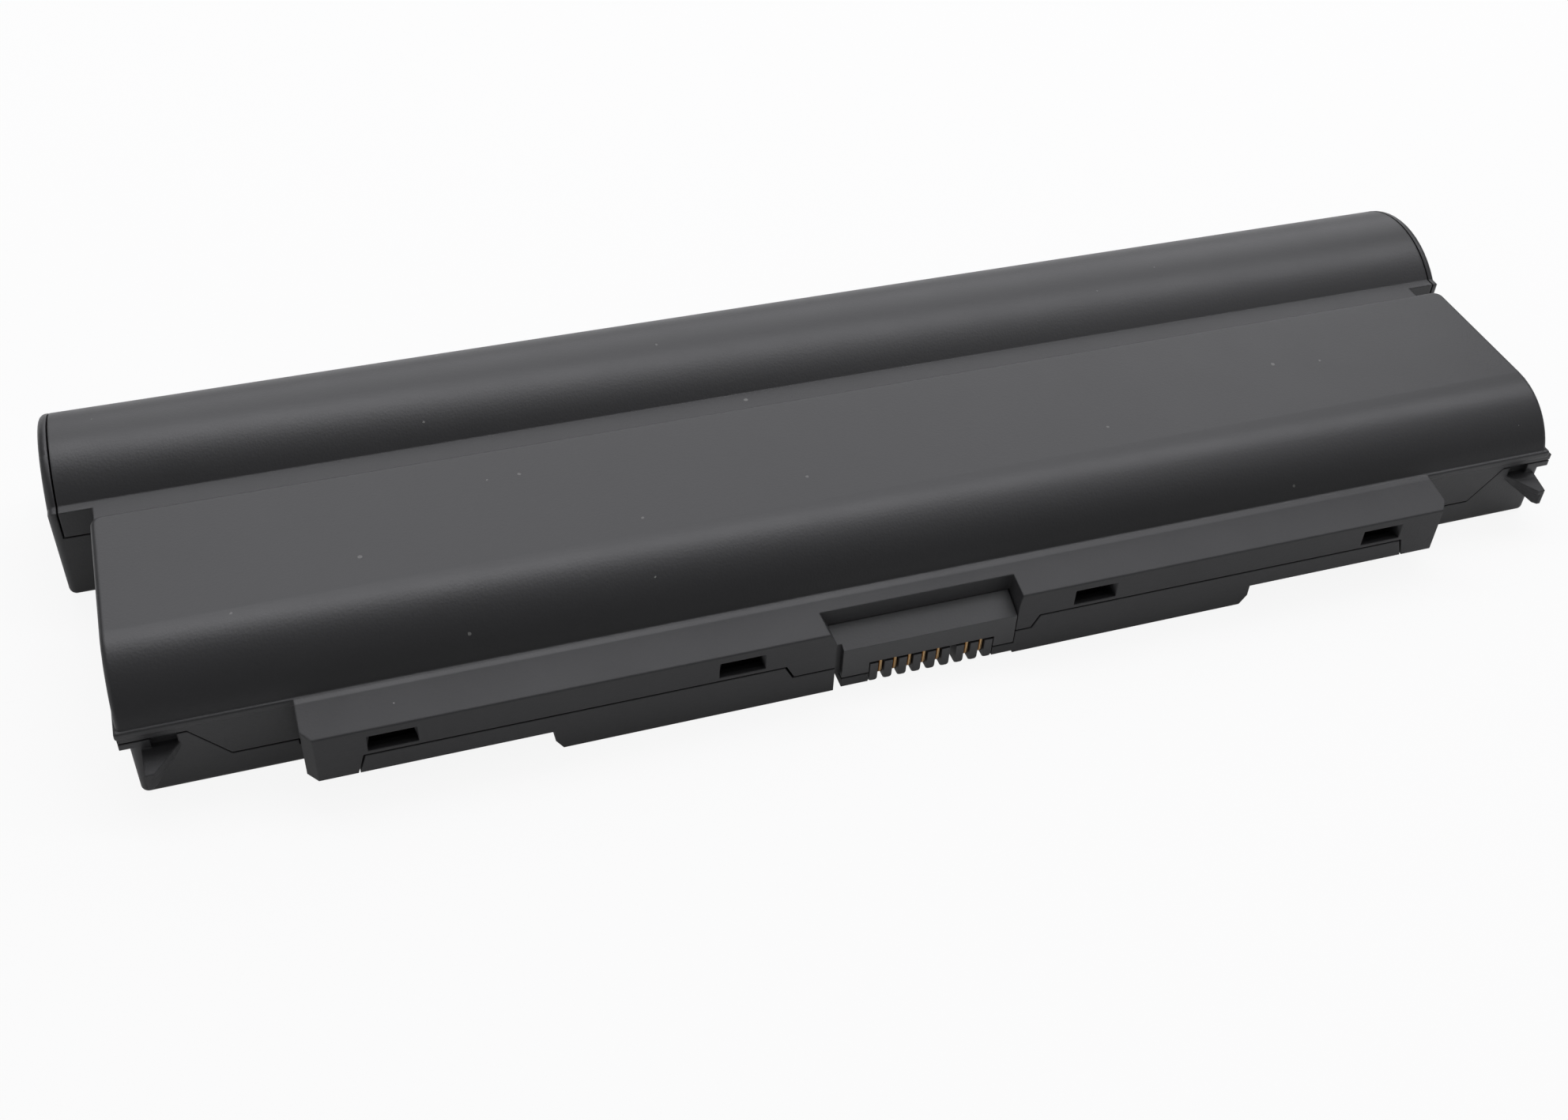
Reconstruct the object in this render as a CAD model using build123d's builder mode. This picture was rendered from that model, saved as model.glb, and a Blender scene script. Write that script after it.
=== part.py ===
from build123d import *
from math import acos, cos, radians, sin, sqrt
import os

os.makedirs("parts", exist_ok=True)

# Cells, in millimetres: X along the length, Y from the connector edge to the rear, Z up.
cell_radius = 9.2
cell_length = 65.0
cell_gap = 0.2
button_radius = 3.2
button_height = 0.6
strip_thickness = 0.25
strip_clearance = 0.06
foam_thickness = 0.3

# Case envelope, drawn around the cells.
wall = 1.4
plateau_length = 265.0
bulge_overhang = 7.6
pack_length = plateau_length + 2 * bulge_overhang
tongue_reach = 8.9
front_room = 3.8
back_room = 1.2
plateau_depth = front_room + 4 * cell_radius + cell_gap + back_room
valley_width = 8.5
bulge_room = 6.1
bulge_depth = 2 * cell_radius + 2 * bulge_room
pack_depth = tongue_reach + plateau_depth + valley_width + bulge_depth

# Stations along Y.
front_y = -pack_depth / 2
lip_y = front_y + tongue_reach
bead_reach = 0.6
bead_side_reach = 0.4
recess_y = lip_y
row_front_y = lip_y + front_room + cell_radius
row_middle_y = row_front_y + 2 * cell_radius + cell_gap
plateau_back_y = lip_y + plateau_depth
bulge_front_y = plateau_back_y + valley_width
bulge_shelf = 1.8
bulge_base_y = bulge_front_y + bulge_shelf
crown_y = bulge_front_y + bulge_depth / 2
rear_y = bulge_front_y + bulge_depth

# Heights above the flat underside.
cell_floor_z = 4.3
cell_axis_z = cell_floor_z + cell_radius
ceiling_z = cell_floor_z + 2 * cell_radius + foam_thickness
plateau_z = ceiling_z + wall
lip_z = 15.2
lip_drop = 2.7
flange_height = 1.2
flange_reach = 1.5
bead_height = 1.5
bead_radius = 0.4
bulge_seam_rise = 1.2
valley_z = 19.2
tongue_front_z = 13.8
tongue_floor_z = 4.3
front_seam_z = 8.0
low_seam_z = 5.3

# Rounded front of the plateau and round back of the bulge.
front_radius = 14.2
bulge_rise = 5.5
bulge_chord = crown_y - bulge_base_y
bulge_radius = (bulge_chord**2 + bulge_rise**2) / (2 * bulge_rise)
bulge_axis_z = valley_z + bulge_rise - bulge_radius
rear_radius = 4.0
bottom_radius = 0.9
inner_radius = 0.4
rim_radius = 1.2
rim_width = 1.6
plateau_corner_radius = 2.0
plateau_edge_radius = 0.9

# The lower body stands a little off the middle of the plateau.
lower_inset = 0.6
lower_shift = 0.7
lower_corner_radius = 1.3

# Tongue along the connector edge.
tongue_end_inset = 27.1
tongue_corner_x = 1.6
tongue_corner_y = 2.1
tongue_edge_radius = 0.3
keel_corner_x = 1.3
keel_corner_z = 2.0

# Parting line between the two shells.
seam_gap = 0.3
seam_end_inset = 8.2
seam_end_run = 1.2
recess_seam_inset = 9.0
recess_seam_run = 6.0
step_left_x = -25.2
step_right_x = 22.5
step_run = 1.4

# Latch slots in the front of the tongue.
slot_width = 8.2
slot_height = 3.3
slot_z = 10.65
slot_throat_width = 6.8
slot_lead = 0.8
slot_fall = 0.6
slot_depth = 6.0
slot_wall = 0.75
pocket_drop = 2.2
slot_inner_x = 32.8
slot_outer_inset = 14.0

# Guide wings under the lip at both front corners, each below a pocket in the wall.
wing_inset = 1.7
wing_length = 6.0
wing_reach = 4.8
wing_top_z = 10.3
wing_tip_z = 9.2
wing_root_depth = 0.9
wing_tip_depth = 3.3
wing_tip_width = 1.4
wing_plate = 0.9
wing_setback = 0.7
wing_pocket_root_gap = 0.3
wing_pocket_outer_gap = 1.6
wing_pocket_depth = 1.0

# Connector housing, comb and contacts.
housing_x = 1.55
housing_width = 32.4
housing_depth = 6.8
housing_back_y = front_y + housing_depth
housing_bottom_z = 2.7
housing_front_z = 9.2
housing_rise = 2.0
housing_step = 0.3
notch_left_gap = 1.4
notch_right_gap = 0.2
recess_depth = 4.9
recess_back_y = front_y + recess_depth
recess_flare_left = 2.0
recess_flare_right = 0.6
recess_frame = 2.6
recess_frame_z = 8.4
cheek_setback = 1.3
recess_flare_z = 11.3
header_overlap = 4.0
header_height = 2.4
header_drop = 1.5
sill_rise = 0.5
comb_x = 2.1
comb_width = 23.5
comb_top_z = 5.1
comb_depth = 4.2
contact_pitch = 2.7
contact_count = 8
key_position = 5
fin_thickness = 1.5
fin_bottom_z = 0.1
fin_corner = 0.4
contact_thickness = 0.45
contact_blade_front = 0.7
contact_blade_drop = 3.4
contact_tail_height = 0.4
contact_tail_length = 2.6
contact_fit = 0.05

# Cells, three in a line and three lines side by side.
cell_rows = {"front": row_front_y, "middle": row_middle_y, "rear": crown_y}
column_pitch = cell_length + strip_thickness + 2 * strip_clearance
cell_columns = {"left": -column_pitch, "centre": 0.0, "right": column_pitch}

# Nickel strips joining the cells.
strip_height = 7.0
strip_overlap = 4.0
strip_tab_width = 1.2
strip_tab_gap = 0.25
strip_tab_front_y = recess_y + wall + strip_tab_gap

# Cradle ribs and bulkheads on the floor.
rib_thickness = 2.0
rib_height = 6.0
rib_offset = 20.0
rib_end_gap = 1.0
cradle_clearance = 0.05
bulkhead_gap = 0.4
bulkhead_height = 10.0

# Circuit board behind the connector.
board_length = 116.0
board_end_room = 4.5
board_setback = 1.8
board_reach = 2.4
board_front_y = front_y + board_setback
board_back_y = recess_y + board_reach
board_thickness = 1.0
board_z = 2.6
board_notch_gap = 0.6
board_margin = 0.8
board_post_radius = 1.5
board_post_inset = 6.0
board_post_setback = 6.5
board_post_x = board_length / 2 - board_post_inset
board_post_y = front_y + board_post_setback
board_top_z = board_z + board_thickness
lead_width = 1.2
lead_thickness = 0.25
lead_overlap = 4.0

# Small pieces on the board, as length, width and height.
gauge_size = (7.0, 5.5, 1.2)
gauge_x = -32.0
switch_size = (5.0, 6.0, 1.1)
switch_inset = 11.5
switch_pitch = 8.5
fuse_size = (5.2, 3.2, 1.2)
fuse_inset = 11.5
shunt_size = (6.4, 3.2, 0.7)
shunt_x = 28.0
thermistor_radius = 1.0
thermistor_x = 8.0
thermistor_z = 9.6
thermistor_lead_radius = 0.25
thermistor_lead_spacing = 1.2

# Foam strips between the cells and the shell above.
foam_length = 180.0
foam_width = 3.0
foam_gap = 0.05

half_pack = pack_length / 2
half_plateau = plateau_length / 2
side_seam_z = lip_z - lip_drop - seam_gap
half_lower = half_plateau - lower_inset
half_tongue = half_plateau - tongue_end_inset
half_keel = board_length / 2 + board_end_room + wall + keel_corner_x
seam_end_x = half_tongue - seam_end_inset
recess_seam_outer_x = half_lower - recess_seam_inset
recess_seam_inner_x = recess_seam_outer_x - recess_seam_run
slot_outer_x = half_tongue - slot_outer_inset
wing_outer_x = half_lower - wing_inset
wing_root_x = wing_outer_x - wing_length
rim_x = half_pack - rim_width
lip_under_z = lip_z - lip_drop
flat_y = lip_y + sqrt(front_radius**2 - (front_radius - plateau_z + lip_z) ** 2)
front_axis_z = plateau_z - front_radius
housing_left_x = housing_x - housing_width / 2
housing_right_x = housing_x + housing_width / 2
notch_left_x = housing_left_x - notch_left_gap
notch_right_x = housing_right_x + notch_right_gap


def arc_height(offset_y, axis_z, radius):
    """Height of a round back at a distance from its axis."""
    return axis_z + sqrt(radius**2 - offset_y**2)


def plateau_face(inset, bottom_z):
    """Closed outline of the plateau and valley, set in from the outer skin."""
    radius = front_radius - inset
    sweep = acos((bottom_z - front_axis_z) / radius)
    foot = (flat_y - radius * sin(sweep), bottom_z)
    middle = (flat_y - radius * sin(sweep / 2), front_axis_z + radius * cos(sweep / 2))
    top = plateau_z - inset
    valley = valley_z - inset
    with BuildSketch(Plane.YZ) as outline:
        with BuildLine():
            ThreePointArc(foot, middle, (flat_y, top))
            Polyline(
                (flat_y, top),
                (plateau_back_y - inset, top),
                (plateau_back_y - inset, valley),
                (bulge_front_y + wall, valley),
                (bulge_front_y + wall, bottom_z),
                foot,
            )
        make_face()
    return outline.sketch


def bulge_face(inset, corner_radius):
    """Closed outline of the rear bulge, set in from the outer skin."""
    radius = bulge_radius - inset
    back_y = rear_y - inset
    front = bulge_front_y + inset
    top = valley_z - inset
    base_y = crown_y - sqrt(radius**2 - (top - bulge_axis_z) ** 2)
    back_z = arc_height(back_y - crown_y, bulge_axis_z, radius)
    with BuildSketch(Plane.YZ) as outline:
        with BuildLine():
            ThreePointArc((base_y, top), (crown_y, bulge_axis_z + radius), (back_y, back_z))
            Polyline((back_y, back_z), (back_y, inset), (front, inset), (front, top), (base_y, top))
        make_face()
        fillet(outline.vertices().group_by(Axis.Y)[0], corner_radius)
        back_edge = outline.vertices().group_by(Axis.X)[-1].sort_by(Axis.Y)[-1]
        fillet(back_edge, rear_radius - inset)
    return outline.sketch


def parting_volume(lift):
    """Everything that belongs to the lower shell, raised by a gap along the seam."""
    with BuildPart() as volume:
        with BuildSketch(Plane.XZ.offset(-recess_y - wall - 0.01)):
            with BuildLine():
                Polyline(
                    (-pack_length, -1.0),
                    (-pack_length, side_seam_z + lift),
                    (lower_shift - recess_seam_outer_x, side_seam_z + lift),
                    (lower_shift - recess_seam_inner_x, low_seam_z + lift),
                    (-half_tongue - seam_gap + lift, low_seam_z + lift),
                    (-half_tongue - seam_gap + lift, tongue_floor_z - 0.1),
                    (-seam_end_x - lift, tongue_floor_z - 0.1),
                    (-seam_end_x + seam_end_run - lift, front_seam_z + lift),
                    (step_left_x + lift, front_seam_z + lift),
                    (step_left_x + step_run + lift, low_seam_z + lift),
                    (step_right_x - step_run - lift, low_seam_z + lift),
                    (step_right_x - lift, front_seam_z + lift),
                    (seam_end_x - seam_end_run + lift, front_seam_z + lift),
                    (seam_end_x + lift, tongue_floor_z - 0.1),
                    (half_tongue + seam_gap - lift, tongue_floor_z - 0.1),
                    (half_tongue + seam_gap - lift, low_seam_z + lift),
                    (lower_shift + recess_seam_inner_x, low_seam_z + lift),
                    (lower_shift + recess_seam_outer_x, side_seam_z + lift),
                    (pack_length, side_seam_z + lift),
                    (pack_length, -1.0),
                    close=True,
                )
            make_face()
        extrude(amount=pack_depth)
        with BuildSketch(Plane.XY.offset(-1.0)):
            with Locations((0, recess_y + wall + pack_depth / 2)):
                Rectangle(2 * pack_length, pack_depth)
        extrude(amount=side_seam_z + lift + 1.0)
        with BuildSketch(Plane.XY.offset(-1.0)):
            with Locations((0, bulge_front_y - lift + pack_depth / 2)):
                Rectangle(2 * pack_length, pack_depth)
        extrude(amount=side_seam_z + bulge_seam_rise + lift + 1.0)
        for side in (-1, 1):
            with BuildSketch(Plane.XY.offset(-1.0)):
                with Locations((side * (rim_x - lift + rim_width), rear_y)):
                    Rectangle(2 * rim_width, 2 * (rear_y - bulge_front_y) + 2)
            extrude(amount=2 * plateau_z)
    return volume.part


with BuildPart() as tongue:
    with BuildSketch(Plane.XY):
        with BuildLine():
            Polyline(
                (-half_tongue, recess_y + wall),
                (-half_tongue, front_y + tongue_corner_y),
                (-half_tongue + tongue_corner_x, front_y),
                (half_tongue - tongue_corner_x, front_y),
                (half_tongue, front_y + tongue_corner_y),
                (half_tongue, recess_y + wall),
                close=True,
            )
        make_face()
    extrude(amount=lip_z)
    with BuildSketch(Plane.YZ):
        with BuildLine():
            Polyline(
                (front_y, tongue_floor_z),
                (front_y, tongue_front_z),
                (lip_y, lip_z),
                (recess_y + wall, lip_z),
                (recess_y + wall, tongue_floor_z),
                close=True,
            )
        make_face()
    extrude(amount=half_tongue, both=True, mode=Mode.INTERSECT)
    fillet(tongue.edges().filter_by(Axis.X).group_by(Axis.Y)[0].sort_by(Axis.Z)[-1], tongue_edge_radius)

with BuildPart() as keel:
    with BuildSketch(Plane.XZ.offset(-front_y)):
        with BuildLine():
            Polyline(
                (-half_keel, tongue_floor_z + wall),
                (-half_keel, keel_corner_z),
                (-half_keel + keel_corner_x, 0.0),
                (half_keel - keel_corner_x, 0.0),
                (half_keel, keel_corner_z),
                (half_keel, tongue_floor_z + wall),
                close=True,
            )
        make_face()
    extrude(amount=front_y - recess_y - wall)

with BuildPart() as plateau:
    extrude(plateau_face(0.0, lip_z), amount=half_plateau, both=True)
    back_edges = plateau.edges().filter_by(Axis.Z).group_by(Axis.Y)[-2]
    fillet(back_edges.filter_by(lambda edge: edge.center().Z > valley_z), plateau_corner_radius)
    end_arcs = plateau.faces().filter_by(Axis.X).edges().filter_by(GeomType.CIRCLE)
    top_edges = plateau.edges().group_by(Axis.Z)[-1].filter_by(lambda edge: edge.center().Y > flat_y + 1)
    fillet(end_arcs + top_edges, plateau_edge_radius)
    with BuildSketch(Plane.XY.offset(lip_under_z)):
        with Locations((lower_shift, (lip_y + bulge_front_y + wall) / 2)):
            Rectangle(2 * (half_lower + flange_reach), bulge_front_y + wall - lip_y)
    extrude(amount=lip_drop - bead_height)

with BuildPart() as bead:
    with BuildSketch(Plane.XY.offset(lip_z - bead_height)):
        with Locations((0, (lip_y - bead_reach + bulge_front_y) / 2)):
            Rectangle(plateau_length + 2 * bead_side_reach, bulge_front_y - lip_y + bead_reach)
    extrude(amount=bead_height)
    fillet(bead.edges().filter_by(Axis.X).group_by(Axis.Y)[0], bead_radius)
    fillet(bead.edges().filter_by(Axis.Y).group_by(Axis.Z)[-1], bead_radius)

with BuildPart() as lower_body:
    with BuildSketch(Plane.XY):
        with Locations((lower_shift, (recess_y + bulge_front_y + 2 * wall) / 2)):
            Rectangle(2 * half_lower, bulge_front_y + 2 * wall - recess_y)
    extrude(amount=lip_z)
    fillet(lower_body.edges().filter_by(Axis.Z).group_by(Axis.Y)[0], lower_corner_radius)
    fillet(lower_body.faces().sort_by(Axis.Z)[0].edges(), bottom_radius)
    with BuildSketch(Plane.XY.offset(side_seam_z - flange_height)):
        with Locations((lower_shift, (lip_y + bulge_front_y + wall) / 2)):
            Rectangle(2 * (half_lower + flange_reach), bulge_front_y + wall - lip_y)
    extrude(amount=flange_height)

with BuildPart() as bulge:
    extrude(bulge_face(0.0, bottom_radius), amount=half_pack, both=True)
    end_edges = bulge.faces().filter_by(Axis.X).edges()
    fillet(end_edges.filter_by(lambda edge: edge.center().Z > valley_z - bottom_radius), rim_radius)

with BuildPart() as case_body:
    add(lower_body.part)
    add(plateau.part)
    add(bead.part)
    add(bulge.part)
    add(tongue.part)
    add(keel.part)

with BuildPart() as case_cavity:
    with BuildSketch(Plane.XY.offset(wall)):
        with Locations((lower_shift, (recess_y + bulge_front_y + 3 * wall) / 2)):
            Rectangle(2 * (half_lower - wall), bulge_front_y + wall - recess_y)
    extrude(amount=lip_z - wall + 1.0)
    extrude(plateau_face(wall, lip_z + 0.5), amount=half_plateau - wall, both=True)
    extrude(bulge_face(wall, inner_radius), amount=rim_x - seam_gap, both=True)
    with BuildSketch(Plane.YZ):
        with BuildLine():
            Polyline(
                (front_y + wall, tongue_floor_z + wall),
                (front_y + wall, tongue_front_z - wall),
                (recess_y + wall + 0.1, lip_z - wall - 0.2),
                (recess_y + wall + 0.1, tongue_floor_z + wall),
                close=True,
            )
        make_face()
    extrude(amount=half_tongue - 2 * wall, both=True)
    with BuildSketch(Plane.XY.offset(wall)):
        with Locations((0, (front_y + recess_y + 2 * wall + 0.1) / 2)):
            Rectangle(2 * (half_keel - wall - keel_corner_x), recess_y - front_y + 0.1)
    extrude(amount=tongue_floor_z + 0.1)

slot_stations = (-slot_outer_x, -slot_inner_x, slot_inner_x, slot_outer_x)
slot_bottom_z = slot_z - slot_height / 2
slot_top_z = slot_z + slot_height / 2
pocket_front_y = front_y + wall + seam_gap
throat_y = pocket_front_y + slot_wall
pocket_back_y = front_y + slot_depth
pocket_floor_z = slot_bottom_z - pocket_drop
collar_bottom_z = front_seam_z + seam_gap
frame_front_y = front_y + wall / 2
frame_y = (frame_front_y + recess_back_y) / 2


def slot_outline(y, bottom_z, top_width):
    """Outline of a latch slot at a depth into the tongue."""
    with BuildSketch(Plane.XZ.offset(-y)) as outline:
        with BuildLine():
            Polyline(
                (-slot_width / 2, bottom_z),
                (slot_width / 2, bottom_z),
                (top_width / 2, slot_top_z),
                (-top_width / 2, slot_top_z),
                close=True,
            )
        make_face()
    return outline.sketch


def block(width, y_range, z_range):
    """Box centred on the middle plane, between two depths and two heights."""
    depth = y_range[1] - y_range[0]
    with BuildPart() as box:
        with BuildSketch(Plane.XY.offset(z_range[0])):
            with Locations((0, y_range[0] + depth / 2)):
                Rectangle(width, depth)
        extrude(amount=z_range[1] - z_range[0])
    return box.part


with BuildPart() as slot_pocket:
    outer_width = slot_width + 2 * slot_wall
    outer_bottom_z = pocket_floor_z - slot_wall
    outer_top_z = slot_top_z + slot_wall
    add(block(outer_width, (pocket_front_y, pocket_back_y + slot_wall), (outer_bottom_z, outer_top_z)))
    add(block(outer_width, (front_y + wall / 2, throat_y), (collar_bottom_z, outer_top_z)))

with BuildPart() as slot_hollow:
    mouth = slot_outline(front_y, slot_bottom_z, slot_width)
    throat = slot_outline(front_y + slot_lead, slot_bottom_z, slot_throat_width)
    throat_end = slot_outline(throat_y, slot_bottom_z - slot_fall, slot_throat_width)
    loft([mouth, throat])
    loft([throat, throat_end])
    add(block(slot_width, (throat_y, pocket_back_y), (pocket_floor_z, slot_top_z)))

with BuildPart() as upper_shell:
    add(case_body.part)
    add(case_cavity.part, mode=Mode.SUBTRACT)
    add(parting_volume(seam_gap), mode=Mode.SUBTRACT)
    for station in slot_stations:
        with Locations((station, 0)):
            add(slot_pocket.part)
            add(slot_hollow.part, mode=Mode.SUBTRACT)
    with BuildSketch(Plane.XZ.offset(-front_y - wall)):
        with Locations((housing_x, tongue_front_z - header_drop)):
            Rectangle(housing_width + 2 * header_overlap, header_height)
    extrude(amount=-housing_back_y + front_y + wall - 0.2)
    with BuildSketch(Plane.XY.offset(recess_frame_z)):
        with Locations((notch_left_x, frame_y), (notch_right_x, frame_y)):
            Rectangle(2 * recess_frame, recess_back_y - frame_front_y)
    extrude(amount=tongue_front_z - wall - recess_frame_z)
    with BuildSketch(Plane.XZ.offset(-front_y)):
        with BuildLine():
            Polyline(
                (notch_left_x - recess_flare_left, lip_z),
                (notch_left_x, recess_flare_z),
                (notch_left_x, -1.0),
                (notch_right_x, -1.0),
                (notch_right_x, recess_flare_z),
                (notch_right_x + recess_flare_right, lip_z),
                close=True,
            )
        make_face()
    extrude(amount=front_y - recess_back_y, mode=Mode.SUBTRACT)
upper_shell.part.label = "upper_shell"
export_step(upper_shell.part, "parts/upper_shell.step")


def wing_plan(setback):
    """Plan of a guide wing, with its slanted edge set back."""
    with BuildSketch(Plane.XY.offset(wing_tip_z - wing_plate)) as plan:
        with BuildLine():
            Polyline(
                (wing_root_x + setback, recess_y + wall / 2),
                (wing_root_x + setback, recess_y),
                (wing_outer_x - wing_tip_width + setback, recess_y - wing_reach),
                (wing_outer_x, recess_y - wing_reach),
                (wing_outer_x, recess_y + wall / 2),
                close=True,
            )
        make_face()
    return plan.sketch


with BuildPart() as wing:
    extrude(wing_plan(0.0), amount=wing_top_z - wing_tip_z + wing_plate)
    extrude(wing_plan(wing_setback), amount=-wing_tip_depth)
    with BuildSketch(Plane.YZ):
        with BuildLine():
            Polyline(
                (recess_y + wall / 2, 0.0),
                (recess_y + wall / 2, wing_top_z),
                (recess_y, wing_top_z),
                (recess_y - wing_reach, wing_tip_z),
                (recess_y - wing_reach, 0.0),
                close=True,
            )
        make_face()
    extrude(amount=half_pack, mode=Mode.INTERSECT)
    with BuildSketch(Plane.XZ.offset(-recess_y - wall)):
        with BuildLine():
            Polyline(
                (wing_root_x, wing_top_z),
                (wing_root_x, wing_top_z - wing_root_depth),
                (wing_outer_x - wing_tip_width, wing_tip_z - wing_tip_depth),
                (wing_outer_x, wing_tip_z - wing_tip_depth),
                (wing_outer_x, wing_top_z),
                close=True,
            )
        make_face()
    extrude(amount=2 * wing_reach, mode=Mode.INTERSECT)

sill_depth = housing_back_y - front_y + 0.4
wing_pocket_width = wing_length - wing_pocket_root_gap - wing_pocket_outer_gap
wing_pocket_x = wing_root_x + wing_pocket_root_gap + wing_pocket_width / 2
strip_stations = [(index - 1.5) * column_pitch for index in range(4)]
bulkhead_x = strip_stations[3] + bulkhead_gap + rib_thickness / 2
rows_middle_y = (row_front_y + crown_y) / 2
rib_length = crown_y - row_front_y + 2 * (cell_radius - rib_end_gap)
rib_stations = [column + side * rib_offset for column in cell_columns.values() for side in (-1, 1)]

with BuildPart() as lower_shell:
    add(case_body.part)
    add(case_cavity.part, mode=Mode.SUBTRACT)
    add(parting_volume(0.0), mode=Mode.INTERSECT)
    for station in rib_stations:
        with BuildSketch(Plane.YZ.offset(station - rib_thickness / 2)):
            with Locations((rows_middle_y, wall + rib_height / 2 - 0.2)):
                Rectangle(rib_length, rib_height + 0.4)
            with Locations(*[(row, cell_axis_z) for row in cell_rows.values()]):
                Circle(cell_radius + cradle_clearance, mode=Mode.SUBTRACT)
        extrude(amount=rib_thickness)
    with BuildSketch(Plane.XY.offset(wall - 0.2)):
        with Locations((-bulkhead_x, rows_middle_y), (bulkhead_x, rows_middle_y)):
            Rectangle(rib_thickness, rib_length)
    extrude(amount=bulkhead_height)
    with BuildSketch(Plane.XY.offset(wall - 0.2)):
        with Locations((-board_post_x, board_post_y), (board_post_x, board_post_y)):
            Circle(board_post_radius)
    extrude(amount=board_z - wall + 0.2)
    with BuildSketch(Plane.XY.offset(-1.0)):
        with Locations(((notch_left_x + notch_right_x) / 2, front_y)):
            Rectangle(notch_right_x - notch_left_x, 2 * (housing_back_y - front_y + 0.2))
    extrude(amount=side_seam_z, mode=Mode.SUBTRACT)
    with BuildSketch(Plane.XY.offset(sill_rise)):
        with Locations(((housing_left_x + notch_right_x) / 2, front_y + sill_depth / 2)):
            Rectangle(notch_right_x - housing_left_x, sill_depth)
    extrude(amount=housing_bottom_z - sill_rise - seam_gap)
    with BuildSketch(Plane.XY.offset(-1.0)):
        with Locations((comb_x, front_y)):
            Rectangle(comb_width, 2 * comb_depth)
    extrude(amount=housing_bottom_z + 1.0, mode=Mode.SUBTRACT)
    with BuildSketch(Plane.XZ.offset(-recess_y)):
        with Locations((lower_shift, (side_seam_z + wing_top_z) / 2)):
            with GridLocations(2 * wing_pocket_x, 0, 2, 1):
                Rectangle(wing_pocket_width, side_seam_z - wing_top_z)
    extrude(amount=-wing_pocket_depth, mode=Mode.SUBTRACT)
    with Locations((lower_shift, 0)):
        add(wing.part)
        add(wing.part.mirror(Plane.YZ))
lower_shell.part.label = "lower_shell"
export_step(lower_shell.part, "parts/lower_shell.step")

first_fin_x = comb_x - contact_count / 2 * contact_pitch
fin_stations = [first_fin_x + index * contact_pitch for index in range(contact_count + 1)]
contact_stations = [fin + contact_pitch / 2 for fin in fin_stations[:contact_count]]
del contact_stations[key_position]
housing_top_z = housing_front_z + housing_rise
housing_slope = housing_rise / (recess_back_y - contact_fit - front_y)

with BuildPart() as connector_housing:
    with BuildSketch(Plane.YZ.offset(housing_left_x)):
        with BuildLine():
            Polyline(
                (front_y, housing_bottom_z),
                (front_y, housing_front_z),
                (recess_back_y - contact_fit, housing_top_z),
                (recess_back_y - contact_fit, housing_top_z - housing_step),
                (housing_back_y, housing_top_z - housing_step),
                (housing_back_y, housing_bottom_z),
                close=True,
            )
        make_face()
    extrude(amount=housing_width)
    with BuildSketch(Plane.YZ.offset(notch_left_x + contact_fit)):
        with BuildLine():
            Polyline(
                (front_y + cheek_setback, housing_bottom_z),
                (front_y + cheek_setback, housing_front_z + housing_slope * cheek_setback),
                (recess_back_y - contact_fit, housing_top_z),
                (recess_back_y - contact_fit, housing_bottom_z),
                close=True,
            )
        make_face()
    extrude(amount=notch_left_gap)
    with BuildSketch(Plane.XY.offset(housing_bottom_z - 1.0)):
        with Locations((comb_x, front_y)):
            Rectangle(comb_width, 2 * comb_depth)
    extrude(amount=comb_top_z - housing_bottom_z + 1.0, mode=Mode.SUBTRACT)
    for fin in fin_stations:
        with BuildSketch(Plane.YZ.offset(fin - fin_thickness / 2)):
            with BuildLine():
                Polyline(
                    (front_y, comb_top_z + 0.2),
                    (front_y, fin_bottom_z + fin_corner),
                    (front_y + fin_corner, fin_bottom_z),
                    (front_y + comb_depth - contact_fit, fin_bottom_z),
                    (front_y + comb_depth - contact_fit, housing_bottom_z),
                    (front_y + comb_depth + 0.2, housing_bottom_z),
                    (front_y + comb_depth + 0.2, comb_top_z + 0.2),
                    close=True,
                )
            make_face()
        extrude(amount=fin_thickness)
    tail_z = board_top_z + contact_tail_height / 2
    with BuildSketch(Plane.XZ.offset(-housing_back_y)):
        with Locations(*[(station, tail_z) for station in contact_stations]):
            Rectangle(contact_thickness + 2 * contact_fit, contact_tail_height + 2 * contact_fit)
    extrude(amount=housing_back_y - front_y - comb_depth, mode=Mode.SUBTRACT)
connector_housing.part.label = "connector_housing"
export_step(connector_housing.part, "parts/connector_housing.step")

for number, station in enumerate(contact_stations, start=1):
    blade_back_y = front_y + comb_depth - contact_fit
    blade_top_z = comb_top_z - contact_fit
    tail_top_z = board_top_z + contact_tail_height
    with BuildPart() as contact:
        with BuildSketch(Plane.YZ.offset(station - contact_thickness / 2)):
            with BuildLine():
                Polyline(
                    (front_y + contact_blade_front, blade_top_z),
                    (front_y + contact_blade_front, blade_top_z - contact_blade_drop),
                    (blade_back_y, blade_top_z - contact_blade_drop),
                    (blade_back_y, board_top_z),
                    (housing_back_y + contact_tail_length, board_top_z),
                    (housing_back_y + contact_tail_length, tail_top_z),
                    (blade_back_y, tail_top_z),
                    (blade_back_y, blade_top_z),
                    close=True,
                )
            make_face()
        extrude(amount=contact_thickness)
    contact.part.label = f"contact_{number}"
    export_step(contact.part, f"parts/contact_{number}.step")

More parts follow.
